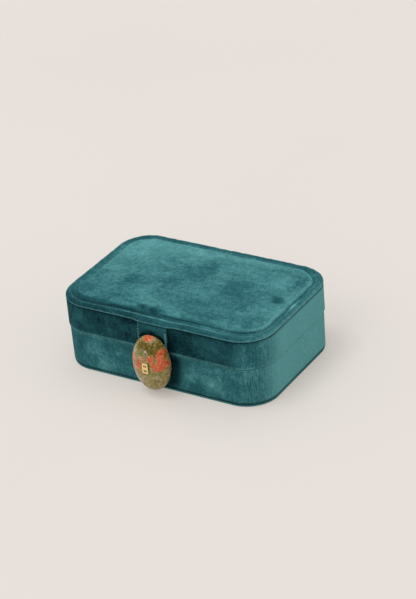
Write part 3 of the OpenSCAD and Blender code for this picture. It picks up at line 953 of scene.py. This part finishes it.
def build_tab():
    """The flap: a flat tube of velvet that comes out from under the rim and ends behind the stone."""
    end_z, top = tab_low.z + TAB_HALF, SEAM_Z + 0.7
    rear = -HALF_D - 0.3
    rows, across = 52, 32
    rings = []
    for j in range(rows + 1):
        z = tab_low.z + (top - tab_low.z) * j / rows
        half = TAB_HALF if z > end_z else sqrt(max(TAB_HALF**2 - (end_z - z) ** 2, 4))
        tucked = float(smooth((z - (SEAM_Z - 3.0)) / 3.4))
        front = tab_low.y * (1 - tucked) - (HALF_D + 0.9) * tucked
        turns = [(cos(2 * pi * i / across), sin(2 * pi * i / across)) for i in range(across)]
        rings.append([
            (half * copysign(abs(c) ** 0.28, c),
             (rear + front) / 2 - (rear - front) / 2 * copysign(abs(s) ** 0.55, s), z)
            for c, s in turns
        ])
    obj = new_object("clasp_tab", *skin(rings))
    co = coordinates(obj)
    co[:, 1] += 0.12 * wander(co, 9, 8) * (co[:, 1] < rear - 0.6)
    set_coordinates(obj, co)
    # painted highlight along the tab's left edge, faint on its right; painted shade under the rim and round the
    # stone's top
    edge = smooth((np.abs(co[:, 0]) - (TAB_HALF - 0.7)) / 0.5) * np.where(co[:, 0] < 0, 0.85, 0.15)
    shadow = 0.6 * smooth((co[:, 2] - (SEAM_Z - 0.8)) / 0.8)
    near_stone = np.hypot(co[:, 0] / 16, (co[:, 2] - STONE_Z) / 23.1)
    shadow = np.maximum(shadow, 1 - smooth((near_stone - 1.05) / 0.11))
    dress(obj, 0.26, edge, shadow, 0.3, 0.2)
    hinge_z = next(j for j in frame["joints"] if j["name"] == "tab_flap")["pos_m"][2]
    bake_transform(obj, "lid", "tab", start=(0, 0, hinge_z + 0.4 * MM), end=(0, 0, hinge_z - 4.5 * MM))
    place(obj, "tab", VELVET, ["tab_cover", "tab_lining", "tab_core"])


def capsule(start, end, r, sides=6):
    """Verts and faces of a short round-ended thread."""
    start, end = Vector(start), Vector(end)
    axis = (end - start).normalized()
    side = axis.cross(Vector((0, 1, 0.01))).normalized()
    up = axis.cross(side)
    turns = [2 * pi * i / sides for i in range(sides)]
    ends = [(start - axis * r * 0.6, 0.45), (start, 1.0), (end, 1.0), (end + axis * r * 0.6, 0.45)]
    return skin([[c + (side * cos(a) + up * sin(a)) * r * k for a in turns] for c, k in ends])


def build_stitches():
    """A row of short slanted stitches close to each long edge of the tab."""
    pitch, top, y = 1.7, SEAM_Z - 4.6, tab_low.y
    heights = [top - i * pitch for i in range(int((top - (tab_low.z + TAB_HALF)) / pitch))]
    inner, outer = TAB_HALF - 1.45, TAB_HALF - 0.25
    threads = [
        capsule((side * inner, y - 0.04, z), (side * outer, y + 0.14, z - 0.6), radius)
        for side, radius in ((-1, 0.18), (1, 0.28)) for z in heights
    ]
    place(merged("tab_stitches", threads), "tab", THREAD)


def oval_rings(levels, half_w, half_l, centre, sides):
    """Rings that face -Y: one for each (share of the size, depth in front of the centre)."""
    x, y, z = centre
    turns = [2 * pi * i / sides for i in range(sides)]
    return [
        [(x + half_w * k * cos(a), y - depth, z + half_l * k * sin(a)) for a in turns]
        for k, depth in levels
    ]


def build_stone():
    """Oval cabochon: a low girdle and a full dome, with the minerals' places on its vertices."""
    half_w, half_l = (stone_high.x - stone_low.x) / 2, (stone_high.z - stone_low.z) / 2
    girdle, power, steps = 1.5, 2.3, 56
    dome = stone_high.y - stone_low.y - girdle + 0.4
    levels = [(0.90, 0.0), (0.965, 0.25), (0.992, 0.8)]
    for t in np.arange(steps) * (pi / 2 / steps):
        levels.append((cos(t) ** (2 / power), girdle + dome * sin(t) ** (2 / power)))
    rings = oval_rings(levels, half_w, half_l, (0, stone_high.y, STONE_Z), 132)
    obj = new_object("stone_cabochon", *skin(rings, tip=(0, stone_high.y - girdle - dome, STONE_Z)))
    x, _, z = coordinates(obj).T
    minerals = {
        "olive": [(2, 18, 7, 3.2, 0.9), (8, 16, 4, 3.5, 0.9), (-4, 18, 4, 3, 0.6),
                  (5, 13.5, 3, 1.8, 0.8), (13.6, 10, 1.2, 4, 0.8), (8, 11, 1.0, 1.8, 0.8),
                  (8, -10, 5, 2.5, 0.35),
                  # the olive spots at x 3, beside the badge, are painted shadow of the badge
                  (-6, 14.5, 3, 2.5, 0.35), (3, 3.5, 0.9, 2.6, 0.8), (3.1, -0.5, 0.8, 4.5, 0.9),
                  (7.5, -12, 1.5, 1.5, 0.6)],
        "green": [(-3, 12, 3, 3.5, 0.75), (8, -4, 4, 2.5, 0.6), (8, -11, 4, 3, 0.7), (-7, 9, 3, 3, 0.55),
                  (-13, -7, 4, 6, 0.5), (6, 14, 4, 2, 0.4), (0, -17, 6, 3, 0.35), (12, -3, 2, 3, 0.5)],
        # the pale spot at (-11, 13) on the left edge is a painted reflection
        "pale": [(-11, 13, 3, 3.5, 0.75), (-12, -8, 4, 6, 0.8), (-8, -14, 5, 4, 0.6),
                 (0, 13.6, 1.5, 1.2, 0.8), (7, 20, 3, 1.2, 0.5), (-3, -9, 5, 3, 0.4),
                 (9, 8, 1.2, 1.6, 0.6), (10, -7.5, 2, 1.5, 0.5)],
        "pink": [(-11.5, 7, 3.8, 2.8, 0.85), (-13, 1, 3.2, 4.5, 0.75), (-4, 7.5, 4.0, 2.0, 0.7),
                 (-8, -1, 4.5, 2.8, 0.7), (-5, -5, 2.4, 2.0, 0.35), (2, 6, 1.6, 2.4, 0.5),
                 (7, 6.5, 2, 1.6, 0.6), (12, -2, 2, 1.4, 0.4)],
        "red": [(0.3, 22, 4.2, 1.9, 1.0), (4.6, 8.6, 3.3, 3.0, 1.0), (11.3, 11.8, 2.4, 4.0, 1.15),
                (8.4, 2.6, 4.0, 2.6, 1.0), (14.2, 3.2, 2.4, 3.0, 1.15), (12.2, 6.6, 2.2, 2.6, 1.0),
                (-6, 1.2, 2.4, 3.0, 0.95), (-5, 4.5, 2.0, 1.4, 0.6), (10, -0.6, 3.0, 1.3, 0.8)],
        "flaw": [(0.7, 11.6, 0.9, 1.5, 1.0), (0.3, 8.0, 0.45, 2.2, 0.8)],
        "chip": [(0.2, 13.6, 1.0, 0.7, 0.9)],
    }
    for name, spots in minerals.items():
        point_values(obj, name, marks(x, z - STONE_Z, spots))
    place(obj, "tab", STONE, ["stone"])


def rivet(centre, r, height, sides=24, rings=6):
    """Verts and faces of a domed head that faces -Y."""
    levels = [(cos(t), height * sin(t)) for t in np.arange(rings) * (pi / 2 / rings)]
    x, y, z = centre
    return skin(oval_rings(levels, r, r, centre, sides), tip=(x, y - height, z))


def build_badge():
    """Plain badge with a low border, and two rivets that each sit in a dark well."""
    half_w = (badge_high.x - badge_low.x) / 2 - 0.3
    half_l = (badge_high.z - badge_low.z) / 2 - 0.5
    rear, face = badge_high.y + 0.6, badge_low.y
    corner, well_r, rivet_up = 0.7, 0.80, 2.0
    field = face + 0.10
    steps = [
        (0, rear), (0, face + 0.22), (0.06, face + 0.08), (0.20, face), (0.55, face), (0.66, field),
    ]

    def upright(middle):
        return lambda x, up, y: (x, y, middle + up)

    outline = (half_w - corner, half_l - corner, corner)
    plate = loft("badge_plate", outline, steps, 14, 20, upright(STONE_Z))
    place(plate, "tab", GOLD, ["badge"])
    heads = []
    for name, z in (("lower", STONE_Z - rivet_up), ("upper", STONE_Z + rivet_up)):
        heads.append(rivet((0, field, z), 0.36, 0.26))
        steps = [(0, field + 0.02), (0.03, field - 0.03)]
        well = loft("rivet_well_" + name, (0.55, 0.01, well_r), steps, 10, 8, upright(z))
        place(well, "tab", DARK_GOLD)
    place(merged("rivet_heads", heads), "tab", GOLD, ["badge_rivets"])


# ------------ inside the base


def build_wall_lining(body, low, high):
    rear = WALL_IN + 0.05
    corners = [(rear, low, 0), (rear, high, 0.3), (LINING_IN, high, 0.35), (LINING_IN, low, 0)]
    node = body + "_wall_lining"
    obj = sweep(node + "_sheet", divide(fillet(corners, 4), 3), shape=side_shape(9, 0.05))
    place(obj, body, SUEDE, [node])


def covered_bar(name, low, high):
    """A divider: board wrapped in suede, with soft top edges."""
    half_x, half_y = (high.x - low.x) / 2, (high.y - low.y) / 2
    corner, thin = 0.5, min(half_x, half_y)
    r = thin * 0.92
    steps = [(0, low.z + (high.z - r - low.z) * k / 8) for k in range(9)]
    for t in np.linspace(0.25, 1.5, 6):
        steps.append((min(r * (1 - cos(t)), thin - 0.02), high.z - r + r * sin(t)))
    counts = [max(6, int(2 * half / 2.5 + 0.01)) for half in (half_x, half_y)]
    path = (half_x - corner, half_y - corner, corner)
    return ruffle(loft(name, path, steps, *counts, shifted(low, high)), 0.12, 12, 11, high.z - 3)


def build_dividers():
    for node in ("long_divider", "front_divider_left", "front_divider_right", "back_divider"):
        place(covered_bar(node + "_wrap", *box(node)), "base", SUEDE, [node])


def roll_mesh(name, low, high):
    """A long roll with a round top, its back end cut to the corner of the room where it meets it."""
    room = (RUN_X, RUN_Y, CORNER_R - LINING_IN - 1.1)
    half, middle = (high.x - low.x) / 2 - 0.25, (low.x + high.x) / 2
    side_top = high.z - 0.4 - half
    walls = np.linspace(low.z, side_top, 9)
    section = [(-half, z) for z in walls]
    section += [(half * sin(t), side_top + half * cos(t)) for t in np.linspace(-1.4, 1.4, 11)]
    section += [(half, z) for z in walls[::-1]]
    rings = []
    for v in np.linspace(0, 1, 35):
        squeeze = 0.62 + 0.38 * (1 - abs(2 * v - 1) ** 26) ** (1 / 2.6)
        rings.append([])
        for sx, z in section:
            over = max(abs(middle + sx) - room[0], 0)
            end = room[1] + sqrt(max(room[2] ** 2 - over**2, 0)) if over else high.y
            y = low.y + 0.2 + v * (min(end, high.y) - low.y - 0.4)
            rings[-1].append((middle + sx * squeeze, y, low.z + (z - low.z) * squeeze))
    return new_object(name, *skin(rings))


def build_rolls():
    """Seven ring rolls, stuffed with cloth simulation and kept inside their own slots."""
    for k in range(1, 8):
        node = "ring_roll_%d" % k
        low, high = box(node)
        obj = roll_mesh("ring_roll_pad_%d" % k, low, high)
        remesh = obj.modifiers.new("even", "REMESH")
        remesh.mode, remesh.voxel_size = "VOXEL", 2.2 * MM
        apply_modifiers(obj)
        stuff(obj, 3.0, 0.9, frames=14)
        smoother = obj.modifiers.new("round", "SUBSURF")
        smoother.levels = smoother.render_levels = 1
        apply_modifiers(obj)
        co = coordinates(ruffle(obj, 0.22, 8, 20 + k, high.z - 5))
        set_coordinates(obj, np.clip(co, low - Vector((0.12, 0, 0)), high + Vector((0.12, 0, 0.6))))
        shade_smooth(obj)
        place(obj, "base", ROLL, [node])


def build_roll_bed():
    low, high = box("roll_bed")
    inset, corner = 2, 6
    path = ((high.x - low.x) / 2 - corner - inset, (high.y - low.y) / 2 - corner - inset, corner)
    steps = [(0, low.z), (0, high.z - 0.5), (0.15, high.z - 0.15), (0.5, high.z)]
    obj = loft("roll_bed_wrap", path, steps, turn=shifted(low, high))
    place(obj, "base", ROLL, ["roll_bed"])


# ------------ inside the lid


def build_mirror():
    frame_low, frame_high = box("mirror_frame")
    glass_low, glass_high = box("mirror")
    bevel, drop, frame_r, glass_r = 3.6, 0.5, 11, 6
    border = frame_high.x - glass_high.x + 2
    behind = glass_low.z - 0.05
    corners = [
        (0, frame_high.z, 0), (0, frame_low.z, 1.4), (border, frame_low.z + 0.1, 0.7),
        (border, behind, 0), (border - 1.5, behind, 0), (border - 1.5, frame_high.z, 0),
    ]
    path = (frame_high.x - frame_r, frame_high.y - frame_r, frame_r)
    border_piece = sweep("mirror_frame_wrap", divide(fillet(corners, 5), 1.5), path, 70, 46)
    place(border_piece, "lid", SUEDE, ["mirror_frame"])
    steps = [
        (0, glass_high.z), (0, glass_low.z + drop), (0.1, behind + drop), (bevel, glass_low.z),
        (bevel + 0.3, glass_low.z),
    ]
    path = (glass_high.x - glass_r, glass_high.y - glass_r, glass_r)
    glass = loft("mirror_plate", path, steps)
    shade_smooth(glass, False)
    place(glass, "lid", MIRROR, ["mirror"])


def build_lid_inside():
    build_wall_lining("lid", lid_low.z + 0.4, ceiling_low.z + 0.3)
    sheet = panel("lid_ceiling_pad", LINING_IN, ceiling_low.z, ceiling_high.z, crown=-0.02)
    place(sheet, "lid", SUEDE, ["lid_ceiling_lining"])
    build_mirror()


def build_base_inside():
    build_wall_lining("base", floor_low.z, box("base_wall_lining")[1].z - 0.1)
    sheet = panel("base_floor_pad", LINING_IN, floor_low.z, floor_high.z)
    place(sheet, "base", SUEDE, ["base_floor_lining"])
    build_dividers()
    build_roll_bed()
    build_rolls()


# ------------ hinge cloths


def strip(name, half_w, heights, outer, seed):
    """An upright strip of cloth across the back. outer(z) is how far back its rear face stands."""
    thick, across = 0.4, 62
    xs = half_w * np.linspace(-1, 1, across + 1)
    verts = [(x, outer(z) - inset, z) for z in heights for inset in (0, thick) for x in xs]
    row = across + 1
    last = 2 * (len(heights) - 1) * row
    faces = []
    for a in range(0, last, 2 * row):
        for side in (a, a + row):
            faces += [(i, i + 1, i + 1 + 2 * row, i + 2 * row) for i in range(side, side + across)]
        faces += [(k, k + row, k + 3 * row, k + 2 * row) for k in (a, a + across)]
    for a in (0, last):
        faces += [(i, i + 1, row + i + 1, row + i) for i in range(a, a + across)]
    obj = new_object(name, verts, faces)
    co = coordinates(obj)
    co[:, 1] += 0.05 * wander(co, 10, seed)
    set_coordinates(obj, co)
    return obj


def hang(obj, soft, material, replaced):
    low, high = ((0, 0, (SPLIT_Z + side * soft) * MM) for side in (-1, 1))
    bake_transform(obj, "base", "lid", start=low, end=high)
    place(obj, "base", material, replaced)


def build_hinges():
    """Two cloth hinges: velvet outside the back wall, suede inside it."""
    lower_low, lower_high = box("hinge_cloth_lower")
    upper_high = box("hinge_cloth_upper")[1]
    half_w, bottom, top = upper_high.x, lower_low.z, upper_high.z
    near = np.linspace(SPLIT_Z - 2, SPLIT_Z + 2, 17)
    heights = [*np.linspace(bottom, near[0], 8)[:-1], *near, *np.linspace(near[-1], top, 8)[1:]]

    def outer(z):
        step = float(smooth((z - (SPLIT_Z - 1)) / 2))
        return lower_high.y * (1 - step) + upper_high.y * step

    obj = strip("hinge_velvet", half_w, heights, outer, 31)
    # painted shade along the fold at the split
    fold_shade = np.exp(-(((coordinates(obj)[:, 2] - SPLIT_Z) / 1.2) ** 2))
    dress(obj, 0.56 - 0.16 * fold_shade, 0, 0, 0.4, 0.15)
    replaced = ["hinge_cloth_lower", "hinge_cloth_upper"]
    hang(obj, 1.2, VELVET, replaced)

    low, high = box("inner_hinge_lower")
    top = box("inner_hinge_upper")[1].z
    obj = strip("inner_hinge_suede", high.x, np.linspace(low.z, top, 40), lambda z: high.y, 32)
    replaced = ["inner_hinge_lower", "inner_hinge_upper"]
    hang(obj, 5, SUEDE, replaced)


# ------------ nodes that keep their CAD shape


def paint_cad_nodes():
    """Every CAD node gets its material, by its slot in the record."""
    materials = {
        "greyboard": BOARD, "foam": FOAM, "magnet_steel": STEEL, "gold_metal": GOLD,
        "outer_velvet": VELVET, "lining_suede": SUEDE, "roll_suede": ROLL, "bottom_velvet": UNDER,
        "tab_backing": BACKING, "mirror_glass": MIRROR, "polished_stone": STONE,
    }
    for row in frame["record"]["subparts"]:
        slots = frame["nodes"][row["node"]].data.materials
        slots.clear()
        slots.append(materials[row["material_slot"]])


# ------------ stage


def build_stage():
    """A pale floor that glows a little, as a light table does, under soft light from the left."""
    bpy.ops.mesh.primitive_plane_add(size=12, location=(0, 0, 0))
    ground = bpy.context.object
    ground.name = "floor"
    ground.data.materials.append(FLOOR)

    scene = bpy.context.scene
    scene.view_settings.view_transform = "Standard"
    scene.world = bpy.data.worlds.new("studio")
    scene.world.use_nodes = True
    background = scene.world.node_tree.nodes["Background"]
    background.inputs["Color"].default_value = (1.0, 0.99, 0.98, 1)
    background.inputs["Strength"].default_value = 0.62

    suns = [
        ("key", 0.62, 22, (-0.30, -0.20, 1.0)), ("front", 0.55, 34, (-0.20, -0.95, 1.0)),
        ("top", 0.50, 60, (-0.2, 0.3, 1.0)),
    ]
    for name, energy, angle, towards in suns:
        data = bpy.data.lights.new(name, "SUN")
        data.energy, data.angle = energy, radians(angle)
        lamp = bpy.data.objects.new(name, data)
        scene.collection.objects.link(lamp)
        lamp.rotation_mode = "QUATERNION"
        lamp.rotation_quaternion = Vector(towards).to_track_quat("Z", "Y")


def build_camera():
    """A long lens from the front right, with the slight tilt of a hand-turned picture."""
    azimuth, elevation, roll = radians(33.53), radians(29.69), radians(-5.24)
    distance, aim_z = 1.5706, 0.02965
    data = bpy.data.cameras.new("camera")
    data.lens, data.sensor_width = 122.91, 36
    data.shift_x, data.shift_y = 0.0188, 0.0295
    data.clip_start, data.clip_end = 0.05, 20
    camera = bpy.data.objects.new("camera", data)
    bpy.context.scene.collection.objects.link(camera)
    tilt = Matrix.Rotation(azimuth, 3, "Z") @ Matrix.Rotation(pi / 2 - elevation, 3, "X")
    turned = tilt @ Matrix.Rotation(roll, 3, "Z")
    camera.location = Vector((0, 0, aim_z)) + turned.col[2] * distance
    camera.rotation_mode = "QUATERNION"
    camera.rotation_quaternion = turned.to_quaternion()
    bpy.context.scene.camera = camera


# ------------ make it all

STEPS = [
    build_camera, build_stage, paint_cad_nodes, build_base_cover, build_bottom, build_lid_cover,
    build_rim, build_rim_cord, build_seam, build_pad, build_foam, build_tab, build_stitches,
    build_stone, build_badge, build_base_inside, build_lid_inside, build_hinges,
]
for step in STEPS:
    step()
